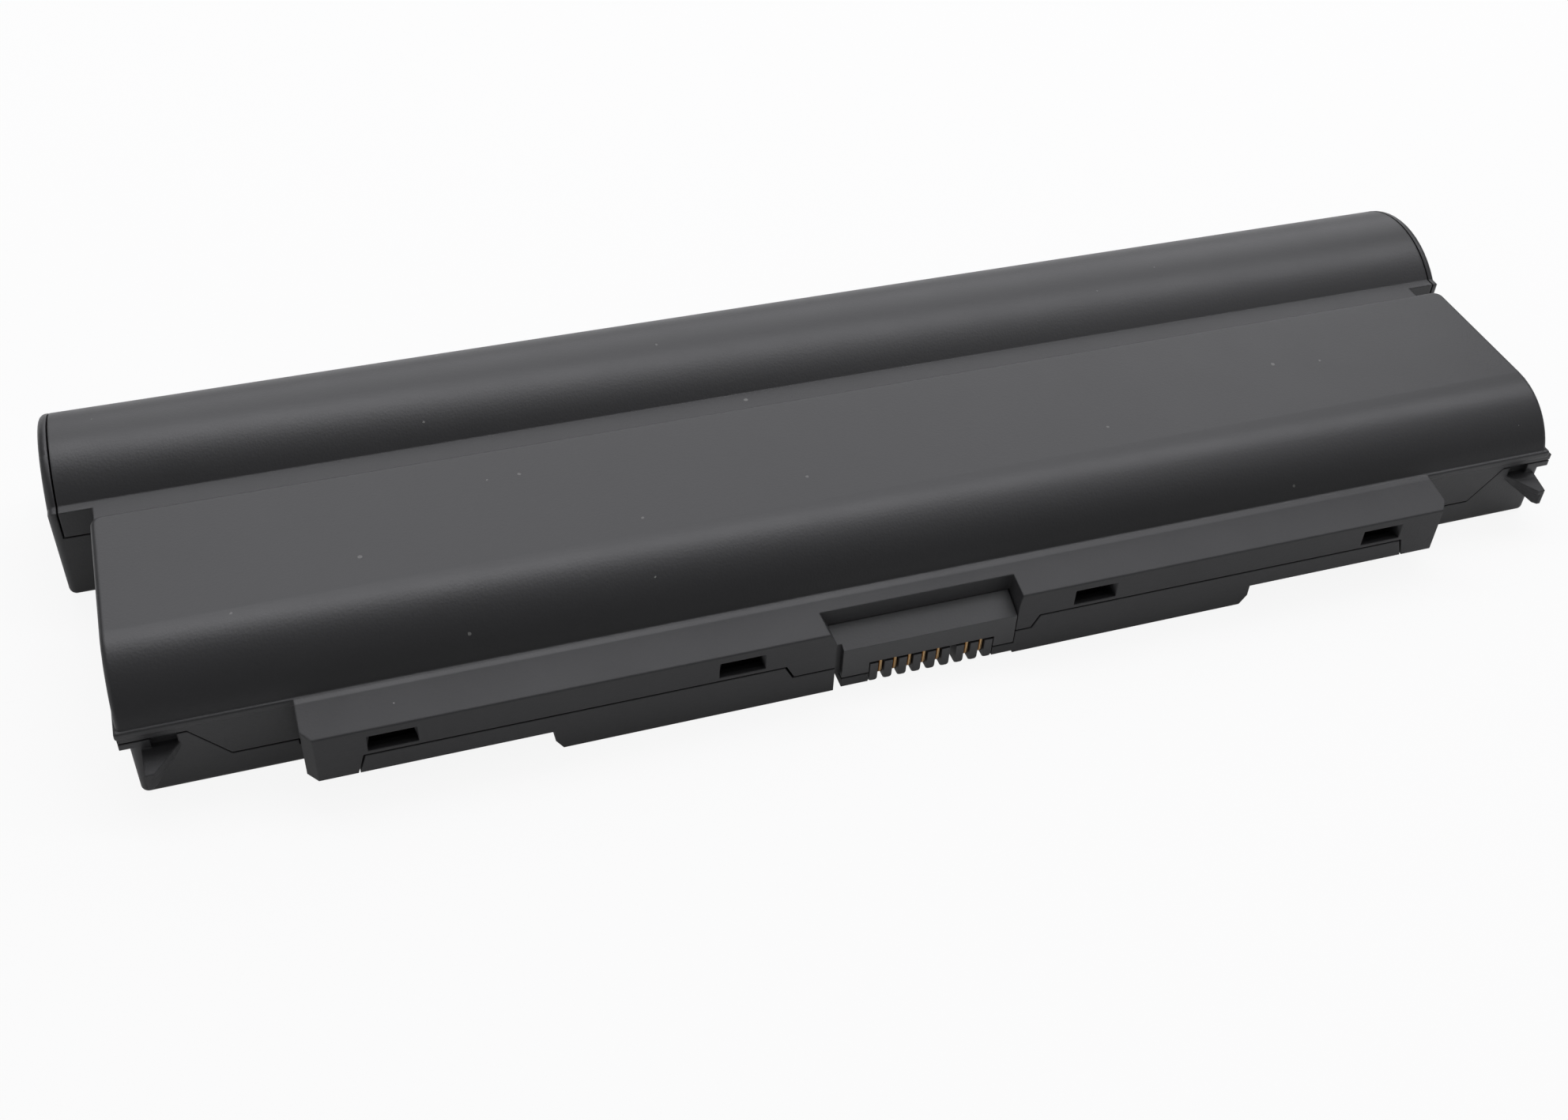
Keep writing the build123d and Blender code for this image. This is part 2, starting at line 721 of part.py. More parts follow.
for row, row_y in cell_rows.items():
    for column, column_x in cell_columns.items():
        with BuildPart() as cell:
            with BuildSketch(Plane.XZ.offset(-row_y)):
                can_end_x = column_x + cell_length / 2 - button_height
                with BuildLine():
                    Polyline(
                        (column_x - cell_length / 2, cell_axis_z),
                        (column_x - cell_length / 2, cell_axis_z + cell_radius),
                        (can_end_x, cell_axis_z + cell_radius),
                        (can_end_x, cell_axis_z + button_radius),
                        (column_x + cell_length / 2, cell_axis_z + button_radius),
                        (column_x + cell_length / 2, cell_axis_z),
                        close=True,
                    )
                make_face()
            revolve(axis=Axis((0, row_y, cell_axis_z), (1, 0, 0)))
        cell.part.label = f"cell_{row}_{column}"
        export_step(cell.part, f"parts/cell_{row}_{column}.step")

strip_names = ("negative", "lower_tap", "upper_tap", "positive")
strip_feet = (lead_thickness, 0.0, 0.0, lead_thickness)
for name, station, foot in zip(strip_names, strip_stations, strip_feet):
    with BuildPart() as strip:
        with BuildSketch(Plane.YZ.offset(station - strip_thickness / 2)):
            with BuildLine():
                Polyline(
                    (strip_tab_front_y, board_top_z + foot),
                    (strip_tab_front_y, cell_axis_z),
                    (row_front_y - strip_overlap, cell_axis_z + strip_height / 2),
                    (crown_y + strip_overlap, cell_axis_z + strip_height / 2),
                    (crown_y + strip_overlap, cell_axis_z - strip_height / 2),
                    (strip_tab_front_y + strip_tab_width, cell_axis_z - strip_height / 2),
                    (strip_tab_front_y + strip_tab_width, board_top_z + foot),
                    close=True,
                )
            make_face()
        extrude(amount=strip_thickness)
    strip.part.label = f"strip_{name}"
    export_step(strip.part, f"parts/strip_{name}.step")

lead_length = strip_stations[3] + strip_thickness / 2 - board_length / 2 + lead_overlap
for name, side in (("negative", -1), ("positive", 1)):
    with BuildPart() as lead:
        with BuildSketch(Plane.XY.offset(board_top_z)):
            lead_x = side * (board_length / 2 - lead_overlap + lead_length / 2)
            with Locations((lead_x, strip_tab_front_y + lead_width / 2)):
                Rectangle(lead_length, lead_width)
        extrude(amount=lead_thickness)
    lead.part.label = f"lead_{name}"
    export_step(lead.part, f"parts/lead_{name}.step")

with BuildPart() as circuit_board:
    with BuildSketch(Plane.XY.offset(board_z)):
        with Locations((0, (board_front_y + board_back_y) / 2)):
            Rectangle(board_length, board_back_y - board_front_y)
        with Locations(((notch_left_x + notch_right_x) / 2, board_front_y)):
            notch_length = notch_right_x - notch_left_x + 2 * board_notch_gap
            notch_depth = housing_back_y + board_notch_gap - board_front_y
            Rectangle(notch_length, 2 * notch_depth, mode=Mode.SUBTRACT)
    extrude(amount=board_thickness)
circuit_board.part.label = "circuit_board"
export_step(circuit_board.part, "parts/circuit_board.step")

discharge_x = board_length / 2 - switch_inset
board_pieces = {
    "gauge_chip": (gauge_x, gauge_size),
    "switch_charge": (discharge_x - switch_pitch, switch_size),
    "switch_discharge": (discharge_x, switch_size),
    "fuse": (fuse_inset - board_length / 2, fuse_size),
    "shunt": (shunt_x, shunt_size),
}
for name, (piece_x, (length, width, height)) in board_pieces.items():
    with BuildPart() as piece:
        with BuildSketch(Plane.XY.offset(board_top_z)):
            with Locations((piece_x, board_front_y + board_margin + width / 2)):
                Rectangle(length, width)
        extrude(amount=height)
        chamfer(piece.faces().sort_by(Axis.Z)[-1].edges(), 0.15)
    piece.part.label = name
    export_step(piece.part, f"parts/{name}.step")

with BuildPart() as thermistor:
    lead_y = board_back_y - 2 * thermistor_lead_radius
    with BuildSketch(Plane.XY.offset(board_top_z)):
        with Locations((thermistor_x, lead_y)):
            with GridLocations(thermistor_lead_spacing, 0, 2, 1):
                Circle(thermistor_lead_radius)
    extrude(amount=thermistor_z - board_top_z)
    with BuildSketch(Plane.XY.offset(thermistor_z - thermistor_radius)):
        with Locations((thermistor_x, lead_y)):
            Circle(thermistor_radius)
    extrude(amount=2 * thermistor_radius)
    chamfer(thermistor.faces().sort_by(Axis.Z)[-1].edges(), 0.4 * thermistor_radius)
thermistor.part.label = "thermistor"
export_step(thermistor.part, "parts/thermistor.step")

foam_places = {
    "front": (row_front_y + foam_width / 2, ceiling_z),
    "middle": (row_middle_y, ceiling_z),
    "rear": (crown_y, valley_z + bulge_rise - wall - foam_gap),
}
for name, (foam_y, top_z) in foam_places.items():
    foam_bottom_z = cell_axis_z + cell_radius
    with BuildPart() as foam:
        with BuildSketch(Plane.XY.offset(foam_bottom_z)):
            with Locations((0, foam_y)):
                Rectangle(foam_length, foam_width)
        extrude(amount=top_z - foam_gap - foam_bottom_z)
    foam.part.label = f"foam_{name}"
    export_step(foam.part, f"parts/foam_{name}.step")
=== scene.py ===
"""A long laptop battery pack, dressed and lit: moulded shells, a keyed contact comb, cells and a board."""
import logging
from dataclasses import dataclass, field
from enum import Enum
from math import cos, radians, sin
from typing import Any

import bmesh
import bpy
from mathutils import Matrix, Quaternion, Vector


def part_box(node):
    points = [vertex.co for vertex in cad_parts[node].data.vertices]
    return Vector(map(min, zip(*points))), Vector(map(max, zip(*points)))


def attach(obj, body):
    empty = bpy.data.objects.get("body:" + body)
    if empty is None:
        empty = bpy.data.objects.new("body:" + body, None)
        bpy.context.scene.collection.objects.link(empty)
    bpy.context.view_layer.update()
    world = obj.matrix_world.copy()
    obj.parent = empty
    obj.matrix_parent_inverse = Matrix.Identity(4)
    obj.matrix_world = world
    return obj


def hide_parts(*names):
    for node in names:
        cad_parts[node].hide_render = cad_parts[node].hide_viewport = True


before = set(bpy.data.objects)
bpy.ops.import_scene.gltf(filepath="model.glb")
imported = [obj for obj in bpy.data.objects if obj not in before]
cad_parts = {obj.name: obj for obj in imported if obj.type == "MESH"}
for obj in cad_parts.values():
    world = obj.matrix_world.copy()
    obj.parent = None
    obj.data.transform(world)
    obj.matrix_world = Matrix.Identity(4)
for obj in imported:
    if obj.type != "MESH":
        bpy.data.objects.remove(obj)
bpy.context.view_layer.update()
MM = 0.001
NOISE_MIDDLE = 0.5
Triple = tuple[float, float, float]
log = logging.getLogger("battery")


class Slot(Enum):
    """The record's material slots."""

    CASE = "case_plastic"
    HOUSING = "connector_plastic"
    CONTACT = "contact_gold"
    SLEEVE = "cell_sleeve"
    NICKEL = "nickel"
    BOARD = "board_laminate"
    CHIP = "chip_resin"
    FUSE = "fuse_ceramic"
    SHUNT = "shunt_metal"
    BEAD = "bead_resin"
    FOAM = "foam"


class Effect(Enum):
    """Surface effects that several materials share, each built once as a node group."""

    GRAIN = "moulded_grain"
    DRIFT = "tone_drift"
    RUB = "edge_rub"
    FLECK = "dust_fleck"


class Pad:
    """A node tree with short ways to add nodes and join them."""

    def __init__(self, tree: bpy.types.NodeTree) -> None:
        """Keeps the tree to work on."""
        self.tree = tree

    def fill(self, target: bpy.types.NodeSocket, value: Any) -> None:
        """Links an input to a socket, or sets it to a constant.

        Args:
            target: The input.
            value: The socket or the constant.
        """
        if isinstance(value, bpy.types.NodeSocket):
            self.tree.links.new(value, target)
        else:
            target.default_value = value

    def add(self, kind: str, values: dict[Any, Any] | None = None, **settings: Any) -> bpy.types.Node:
        """Adds a node, sets its own settings, and fills its inputs.

        Args:
            kind: Blender's type name of the node.
            values: Input name or number to a constant, or to a socket that is linked to it.
            settings: Properties of the node itself.

        Returns:
            The new node.
        """
        node = self.tree.nodes.new(kind)
        for name, value in settings.items():
            setattr(node, name, value)
        for key, value in (values or {}).items():
            self.fill(node.inputs[key], value)
        return node

    def math(
        self, operation: str, first: Any, second: Any = 0.0, clamp: bool = False
    ) -> bpy.types.NodeSocket:
        """Adds a Math node.

        Args:
            operation: Blender's name of the operation.
            first: First constant or socket.
            second: Second constant or socket.
            clamp: Whether the result is held between 0 and 1.

        Returns:
            The result socket.
        """
        values = {0: first, 1: second}
        return self.add("ShaderNodeMath", values, operation=operation, use_clamp=clamp).outputs[0]

    def span(self, value: Any, low: float, high: float, to_low: Any, to_high: Any) -> bpy.types.NodeSocket:
        """Maps a value from one range to another, held at the ends.

        Args:
            value: Socket or constant to map.
            low: Start of the range it comes from.
            high: End of the range it comes from.
            to_low: Result at the start.
            to_high: Result at the end.

        Returns:
            The mapped value's socket.
        """
        return self.add("ShaderNodeMapRange", {0: value, 1: low, 2: high, 3: to_low, 4: to_high}).outputs[0]

    def mix(self, factor: Any, first: Any, second: Any) -> bpy.types.NodeSocket:
        """Mixes two colours.

        Args:
            factor: Share of the second colour.
            first: First colour or socket.
            second: Second colour or socket.

        Returns:
            The colour socket.
        """
        return self.add("ShaderNodeMix", {0: factor, 6: first, 7: second}, data_type="RGBA").outputs[2]

    def scaled(self, colour: Triple, factor: Any) -> bpy.types.NodeSocket:
        """Scales a colour.

        Args:
            colour: The colour.
            factor: Constant or socket to scale it by.

        Returns:
            The colour socket.
        """
        return self.add("ShaderNodeVectorMath", {0: colour, 3: factor}, operation="SCALE").outputs[0]

    def dot(self, first: Any, second: Any) -> bpy.types.NodeSocket:
        """Multiplies two directions, giving 1 where they agree.

        Args:
            first: First direction or socket.
            second: Second direction or socket.

        Returns:
            The value's socket.
        """
        values = {0: first, 1: second}
        return self.add("ShaderNodeVectorMath", values, operation="DOT_PRODUCT").outputs["Value"]

    def place(self) -> bpy.types.NodeSocket:
        """Adds the object's own coordinates."""
        return self.add("ShaderNodeTexCoord").outputs["Object"]

    def noise(self, place: Any, scale: Any, detail: float, roughness: float = 0.5) -> bpy.types.Node:
        """Adds a noise texture.

        Args:
            place: Coordinates' socket.
            scale: Constant or socket for the scale.
            detail: Number of finer layers.
            roughness: Share that each finer layer adds.

        Returns:
            The texture node.
        """
        values = {"Vector": place, "Scale": scale, "Detail": detail, "Roughness": roughness}
        return self.add("ShaderNodeTexNoise", values)

    def effect(self, effect: Effect, **values: Any) -> bpy.types.Node:
        """Places a shared effect with its own values.

        Args:
            effect: Which effect.
            values: The group's inputs by name, with spaces written as underscores.

        Returns:
            The group node.
        """
        node = self.add("ShaderNodeGroup", node_tree=EFFECTS[effect])
        for name, value in values.items():
            self.fill(node.inputs[name.replace("_", " ").title()], value)
        return node


def open_group(effect: Effect, inputs: dict[str, float], outputs: tuple[str, ...]) -> tuple[Pad, Any, Any]:
    """Starts a shader node group with named number sockets.

    Args:
        effect: Which effect it holds.
        inputs: Input names with their usual values.
        outputs: Output names.

    Returns:
        The pad, the group's input sockets and the group's output node.
    """
    tree = bpy.data.node_groups.new(effect.value, "ShaderNodeTree")
    for name, value in inputs.items():
        socket = tree.interface.new_socket(name, in_out="INPUT", socket_type="NodeSocketFloat")
        socket.default_value = value
    for name in outputs:
        tree.interface.new_socket(name, in_out="OUTPUT", socket_type="NodeSocketFloat")
    pad = Pad(tree)
    return pad, pad.add("NodeGroupInput").outputs, pad.add("NodeGroupOutput")


def build_grain() -> bpy.types.NodeTree:
    """Spark-eroded mould grain: fine rounded pits of two sizes.

    Returns:
        The group, with Height and Roughness outputs.
    """
    pit_share, fine_share, fine_swing = 0.6, 0.6, 0.6
    usual = {"Scale": 2200.0, "Roughness": 0.5, "Spread": 0.06}
    pad, given, out = open_group(Effect.GRAIN, usual, ("Height", "Roughness"))
    place = pad.place()
    pitted = {"Vector": place, "Scale": given["Scale"], "Smoothness": 0.6}
    pits = pad.add("ShaderNodeTexVoronoi", pitted, feature="SMOOTH_F1").outputs["Distance"]
    fine = pad.noise(place, given["Scale"], 3.0, 0.6).outputs[0]
    broad = pad.noise(place, 90.0, 4.0, 0.55).outputs[0]
    height = pad.math("ADD", pad.math("MULTIPLY", pits, pit_share), pad.math("MULTIPLY", fine, fine_share))
    swing = pad.math("MULTIPLY", pad.math("SUBTRACT", broad, NOISE_MIDDLE), given["Spread"])
    fine_spread = pad.math("MULTIPLY", given["Spread"], fine_swing)
    shine = pad.math("MULTIPLY", pad.math("SUBTRACT", fine, NOISE_MIDDLE), fine_spread)
    roughness = pad.math("ADD", given["Roughness"], pad.math("ADD", swing, shine), clamp=True)
    pad.fill(out.inputs["Height"], height)
    pad.fill(out.inputs["Roughness"], roughness)
    return pad.tree


def build_drift() -> bpy.types.NodeTree:
    """Slow drift of tone over a moulding, with a finer mottle on top.

    Returns:
        The group, with a Factor output near 1.
    """
    pad, given, out = open_group(Effect.DRIFT, {"Scale": 14.0, "Spread": 0.05}, ("Factor",))
    place = pad.place()
    slow = pad.math("SUBTRACT", pad.noise(place, given["Scale"], 2.0).outputs[0], NOISE_MIDDLE)
    mottle = pad.math("SUBTRACT", pad.noise(place, 900.0, 2.0, 0.7).outputs[0], NOISE_MIDDLE)
    swing = pad.math("MULTIPLY", pad.math("ADD", slow, mottle), given["Spread"])
    pad.fill(out.inputs["Factor"], pad.math("ADD", swing, 1.0))
    return pad.tree


def build_rub() -> bpy.types.NodeTree:
    """Mask of outer edges that handling has rubbed, broken up by noise.

    Returns:
        The group, with a Mask output.
    """
    flat_turn, full_turn = 0.985, 0.86
    bare_from, worn_from, least_worn = 0.38, 0.66, 0.25
    pad, given, out = open_group(Effect.RUB, {"Reach": 0.0004, "Strength": 1.0}, ("Mask",))
    shape = pad.add("ShaderNodeNewGeometry")
    soft = pad.add("ShaderNodeBevel", {"Radius": given["Reach"]}, samples=3)
    edge = pad.span(pad.dot(soft.outputs[0], shape.outputs["Normal"]), flat_turn, full_turn, 0.0, 1.0)
    patch = pad.noise(pad.place(), 160.0, 4.0, 0.6)
    worn = pad.span(patch.outputs[0], bare_from, worn_from, least_worn, 1.0)
    mask = pad.math("MULTIPLY", pad.math("MULTIPLY", edge, worn), given["Strength"])
    pad.fill(out.inputs["Mask"], mask)
    return pad.tree


def build_fleck() -> bpy.types.NodeTree:
    """Sparse specks of pale dust, under a millimetre across at the sizes used here.

    Returns:
        The group, with a Mask output.
    """
    wobble, least_size, least_fade = 0.0004, 0.35, 0.3
    usual = {"Scale": 120.0, "Size": 0.02, "Amount": 0.1}
    pad, given, out = open_group(Effect.FLECK, usual, ("Mask",))
    place = pad.place()
    bend = pad.noise(place, 1500.0, 1.0).outputs["Color"]
    moved = pad.add("ShaderNodeMix", {0: wobble, 4: place, 5: bend}, data_type="VECTOR").outputs[1]
    cells = pad.add("ShaderNodeTexVoronoi", {"Vector": moved, "Scale": given["Scale"]})
    split = pad.add("ShaderNodeSeparateColor", {0: cells.outputs["Color"]})
    chosen = pad.math("LESS_THAN", split.outputs[0], given["Amount"])
    reach = pad.math("MULTIPLY", given["Size"], pad.math("ADD", split.outputs[1], least_size))
    speck = pad.math("LESS_THAN", cells.outputs["Distance"], reach)
    fade = pad.math("ADD", pad.math("MULTIPLY", split.outputs[2], 1.0 - least_fade), least_fade)
    pad.fill(out.inputs["Mask"], pad.math("MULTIPLY", pad.math("MULTIPLY", chosen, speck), fade))
    return pad.tree


EFFECTS: dict[Effect, bpy.types.NodeTree] = {
    Effect.GRAIN: build_grain(),
    Effect.DRIFT: build_drift(),
    Effect.RUB: build_rub(),
    Effect.FLECK: build_fleck(),
}


def new_material(name: str) -> tuple[bpy.types.Material, Pad, bpy.types.Node]:
    """Starts a material with a Principled shader.

    Args:
        name: The material's name.

    Returns:
        The material, a pad on its nodes and the shader node.
    """
    material = bpy.data.materials.new(name)
    material.use_nodes = True
    pad = Pad(material.node_tree)
    return material, pad, material.node_tree.nodes["Principled BSDF"]


def feed(pad: Pad, shader: bpy.types.Node, colour: Any, roughness: Any, bump: bpy.types.Node) -> None:
    """Feeds a shader's colour, roughness and normal.

    Args:
        pad: The material's pad.
        shader: The shader node.
        colour: Socket for the base colour.
        roughness: Socket for the roughness.
        bump: The Bump node.
    """
    pad.fill(shader.inputs["Base Color"], colour)
    pad.fill(shader.inputs["Roughness"], roughness)
    pad.fill(shader.inputs["Normal"], bump.outputs[0])


@dataclass(frozen=True)
class MouldedPlastic:
    """Moulded plastic with grain, rubbed edges and a little dust, duller in front of a line if asked."""

    name: str
    colour: Triple
    rubbed: Triple
    roughness: float = 0.5
    spread: float = 0.08
    specular: float = 0.4
    grain_scale: float = 2200.0
    grain_depth: float = 0.00002
    rub: float = 0.5
    rub_reach: float = 0.0004
    edge: float = 0.0004
    drift: float = 0.08
    drift_scale: float = 14.0
    dust: float = 0.0
    dust_scale: float = 130.0
    dust_size: float = 0.04
    dust_colour: Triple = (0.2, 0.2, 0.19)
    coarse_from: float | None = None
    coarse_fade: float = 0.0003
    coarse: float = 0.15

    def material(self) -> bpy.types.Material:
        """Builds the material.

        Returns:
            The finished material.
        """
        material, pad, shader = new_material(self.name)
        grain = pad.effect(Effect.GRAIN, scale=self.grain_scale, roughness=self.roughness, spread=self.spread)
        drift = pad.effect(Effect.DRIFT, scale=self.drift_scale, spread=self.drift)
        rub = pad.effect(Effect.RUB, reach=self.rub_reach, strength=self.rub)
        colour = pad.mix(rub.outputs[0], pad.scaled(self.colour, drift.outputs[0]), (*self.rubbed, 1.0))
        if self.dust > 0.0:
            fleck = pad.effect(Effect.FLECK, scale=self.dust_scale, size=self.dust_size, amount=self.dust)
            colour = pad.mix(fleck.outputs[0], colour, (*self.dust_colour, 1.0))
        shine = grain.outputs["Roughness"]
        if self.coarse_from is not None:
            depth = pad.add("ShaderNodeSeparateXYZ", {0: pad.place()}).outputs["Y"]
            full_from = self.coarse_from - self.coarse_fade
            ahead = pad.span(depth, self.coarse_from, full_from, 0.0, self.coarse)
            shine = pad.math("ADD", shine, ahead, clamp=True)
        soft = pad.add("ShaderNodeBevel", {"Radius": self.edge}, samples=4).outputs[0]
        relief = {"Height": grain.outputs["Height"], "Distance": self.grain_depth, "Normal": soft}
        feed(pad, shader, colour, shine, pad.add("ShaderNodeBump", relief))
        shader.inputs["Specular IOR Level"].default_value = self.specular
        return material


@dataclass(frozen=True)
class PlatedMetal:
    """Rolled or plated metal, brushed and tarnished, with an optional painted glint: bright on faces that
    look one way, painted darker on faces turned from it.
    """

    name: str
    colour: Triple
    # Darker colour of real tarnish stains, also used as the painted shade beside the painted glint.
    tarnish_and_painted_shade: Triple
    roughness: float = 0.3
    stretch: Triple = (1.0, 0.05, 1.0)
    # Direction of the painted glint: faces that look this way keep the bright colour as a painted highlight,
    # faces turned away are painted darker as shade.
    painted_glint_facing: Triple | None = None
    painted_glint_span: tuple[float, float] = (0.93, 0.995)
    brush_scale: float = 9000.0
    brush_depth: float = 0.000004
    brush_span: tuple[float, float] = (0.3, 0.7)
    smoother: float = 0.08
    rougher: float = 0.12
    stain_scale: float = 700.0
    stain_span: tuple[float, float] = (0.45, 0.75)
    stain_most: float = 0.7
    rub: float = 0.4
    rub_reach: float = 0.00008

    def material(self) -> bpy.types.Material:
        """Builds the material.

        Returns:
            The finished material.
        """
        material, pad, shader = new_material(self.name)
        place = pad.place()
        along = pad.add("ShaderNodeMapping", {"Vector": place, "Scale": self.stretch}).outputs[0]
        brush = pad.noise(along, self.brush_scale, 4.0, 0.7).outputs[0]
        stain = pad.noise(place, self.stain_scale, 3.0).outputs[0]
        rub = pad.effect(Effect.RUB, reach=self.rub_reach, strength=self.rub)
        stain_and_painted_shade = pad.span(stain, *self.stain_span, 0.0, self.stain_most)
        # Painted glint and shade: the colour stays bright on faces that look along the given direction and is
        # painted dark on faces turned away, on top of the real tarnish stains.
        if self.painted_glint_facing:
            facing = pad.dot(pad.add("ShaderNodeNewGeometry").outputs["Normal"], self.painted_glint_facing)
            stain_and_painted_shade = pad.math("MAXIMUM", stain_and_painted_shade, pad.span(facing, *self.painted_glint_span, 1.0, 0.0))
        colour = pad.mix(stain_and_painted_shade, (*self.colour, 1.0), (*self.tarnish_and_painted_shade, 1.0))
        colour = pad.mix(rub.outputs[0], colour, (*self.colour, 1.0))
        least, most = self.roughness - self.smoother, self.roughness + self.rougher
        shine = pad.span(brush, *self.brush_span, least, most)
        bump = pad.add("ShaderNodeBump", {"Height": brush, "Distance": self.brush_depth})
        feed(pad, shader, colour, shine, bump)
        shader.inputs["Metallic"].default_value = 1.0
        return material


@dataclass(frozen=True)
class ShrinkSleeve:
    """Thin shrunk sleeve round a cell: glossy film with tight lengthwise ripples."""

    name: str
    colour: Triple
    roughness: float = 0.32
    stretch: Triple = (0.15, 1.0, 1.0)
    ripple_scale: float = 420.0
    ripple_depth: float = 0.00005
    ripple_span: tuple[float, float] = (0.3, 0.7)
    smoother: float = 0.05
    rougher: float = 0.12
    drift: float = 0.12
    drift_scale: float = 60.0

    def material(self) -> bpy.types.Material:
        """Builds the material.

        Returns:
            The finished material.
        """
        material, pad, shader = new_material(self.name)
        along = pad.add("ShaderNodeMapping", {"Vector": pad.place(), "Scale": self.stretch}).outputs[0]
        ripple = pad.noise(along, self.ripple_scale, 3.0).outputs[0]
        drift = pad.effect(Effect.DRIFT, scale=self.drift_scale, spread=self.drift)
        least, most = self.roughness - self.smoother, self.roughness + self.rougher
        shine = pad.span(ripple, *self.ripple_span, least, most)
        bump = pad.add("ShaderNodeBump", {"Height": ripple, "Distance": self.ripple_depth})
        feed(pad, shader, pad.scaled(self.colour, drift.outputs[0]), shine, bump)
        return material


@dataclass(frozen=True)
class WovenLaminate:
    """Circuit board laminate: glass weave under a thin solder mask."""

    name: str
    mask: Triple
    glass: Triple
    weave_scale: float = 700.0
    weave_depth: float = 0.00001
    weave_share: float = 0.25
    least_rough: float = 0.3
    most_rough: float = 0.42
    drift: float = 0.15
    drift_scale: float = 40.0

    def material(self) -> bpy.types.Material:
        """Builds the material.

        Returns:
            The finished material.
        """
        material, pad, shader = new_material(self.name)
        waves = {"Vector": pad.place(), "Scale": self.weave_scale}
        warp = pad.add("ShaderNodeTexWave", waves, bands_direction="X")
        weft = pad.add("ShaderNodeTexWave", waves, bands_direction="Y")
        weave = pad.math("MULTIPLY", warp.outputs["Fac"], weft.outputs["Fac"])
        drift = pad.effect(Effect.DRIFT, scale=self.drift_scale, spread=self.drift)
        tone = pad.scaled(self.mask, drift.outputs[0])
        colour = pad.mix(pad.math("MULTIPLY", weave, self.weave_share), tone, (*self.glass, 1.0))
        shine = pad.span(weave, 0.0, 1.0, self.least_rough, self.most_rough)
        bump = pad.add("ShaderNodeBump", {"Height": weave, "Distance": self.weave_depth})
        feed(pad, shader, colour, shine, bump)
        return material


FINISHES: dict[Slot, Any] = {
    Slot.CASE: MouldedPlastic(
        "case_plastic", (0.024, 0.024, 0.0255), (0.05, 0.05, 0.052), roughness=0.4, specular=0.5, dust=0.5,
        coarse_from=-0.0374,
    ),
    Slot.HOUSING: MouldedPlastic(
        "connector_plastic", (0.04, 0.0405, 0.042), (0.05, 0.05, 0.052), roughness=0.42, specular=0.5,
        grain_depth=0.000012, rub_reach=0.00025, edge=0.00015,
    ),
    # The contacts get a painted glint: bright on faces that look to the front, painted dark on their sides.
    Slot.CONTACT: PlatedMetal(
        "contact_gold", (0.84, 0.62, 0.34), (0.3, 0.14, 0.045), 0.26, (1.0, 1.0, 0.06), painted_glint_facing=(0.0, -1.0, 0.0)
    ),
    Slot.SLEEVE: ShrinkSleeve("cell_sleeve", (0.05, 0.17, 0.33)),
    Slot.NICKEL: PlatedMetal("nickel", (0.66, 0.63, 0.58), (0.42, 0.39, 0.35), 0.32, (1.0, 0.04, 1.0)),
    Slot.BOARD: WovenLaminate("board_laminate", (0.012, 0.085, 0.04), (0.1, 0.2, 0.11)),
    Slot.CHIP: MouldedPlastic(
        "chip_resin", (0.018, 0.018, 0.019), (0.05, 0.05, 0.05), roughness=0.42, grain_scale=6000.0
    ),
    Slot.FUSE: MouldedPlastic(
        "fuse_ceramic", (0.62, 0.6, 0.55), (0.7, 0.69, 0.65), roughness=0.38, grain_scale=4000.0
    ),
    Slot.SHUNT: PlatedMetal("shunt_metal", (0.5, 0.44, 0.36), (0.3, 0.25, 0.2), 0.38),
    Slot.BEAD: MouldedPlastic(
        "bead_resin", (0.03, 0.02, 0.012), (0.08, 0.06, 0.04), roughness=0.25, grain_depth=0.000005
    ),
    Slot.FOAM: MouldedPlastic(
        "foam", (0.05, 0.05, 0.05), (0.09, 0.09, 0.09), roughness=0.9, specular=0.1,
        grain_scale=1100.0, grain_depth=0.00015,
    ),
}
MATERIALS: dict[Slot, bpy.types.Material] = {}


def finish_of(slot: Slot) -> bpy.types.Material:
    """Gives a slot's material, built the first time it is asked for.

    Args:
        slot: Which material slot.

    Returns:
        The material.
    """
    if slot not in MATERIALS:
        MATERIALS[slot] = FINISHES[slot].material()
    return MATERIALS[slot]


def dress_node(name: str, slot: Slot) -> None:
    """Gives a CAD node its material and reports it.

    Args:
        name: The CAD node.
        slot: Its material slot.
    """
    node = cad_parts[name]
    node.data.materials.clear()
    node.data.materials.append(finish_of(slot))
    log.info("%s dressed in %s", name, slot.value)


@dataclass
class Case:
    """The two moulded shells."""

    shells: tuple[str, ...] = ("upper_shell", "lower_shell")

    def dress(self) -> None:
        """Gives both shells their plastic."""
        for shell in self.shells:
            dress_node(shell, Slot.CASE)


def link_piece(name: str, data: bpy.types.ID) -> bpy.types.Object:
    """Puts a mesh, a light or a camera into the scene.

    Args:
        name: The object's name.
        data: Its mesh, light or camera.

    Returns:
        The new object.
    """
    piece = bpy.data.objects.new(name, data)
    bpy.context.scene.collection.objects.link(piece)
    return piece


def stand_for(piece: bpy.types.Object, node: str, slot: Slot) -> None:
    """Lets a new piece stand for a CAD node, with the slot's finish.

    Args:
        piece: The new piece.
        node: The CAD node it stands for.
        slot: Its material slot.
    """
    piece.data.materials.clear()
    piece.data.materials.append(finish_of(slot))
    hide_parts(node)
    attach(piece, "root")
    log.info("%s stands for %s", piece.name, node)


def smooth_by_angle(mesh: bpy.types.Mesh, degrees: float) -> None:
    """Shades a mesh smooth, with sharp edges where faces turn by more than the angle.

    Args:
        mesh: The mesh to shade.
        degrees: The angle.
    """
    if "custom_normal" in mesh.attributes:
        mesh.attributes.remove(mesh.attributes["custom_normal"])
    mesh.polygons.foreach_set("use_smooth", [True] * len(mesh.polygons))
    mesh.set_sharp_from_angle(angle=radians(degrees))


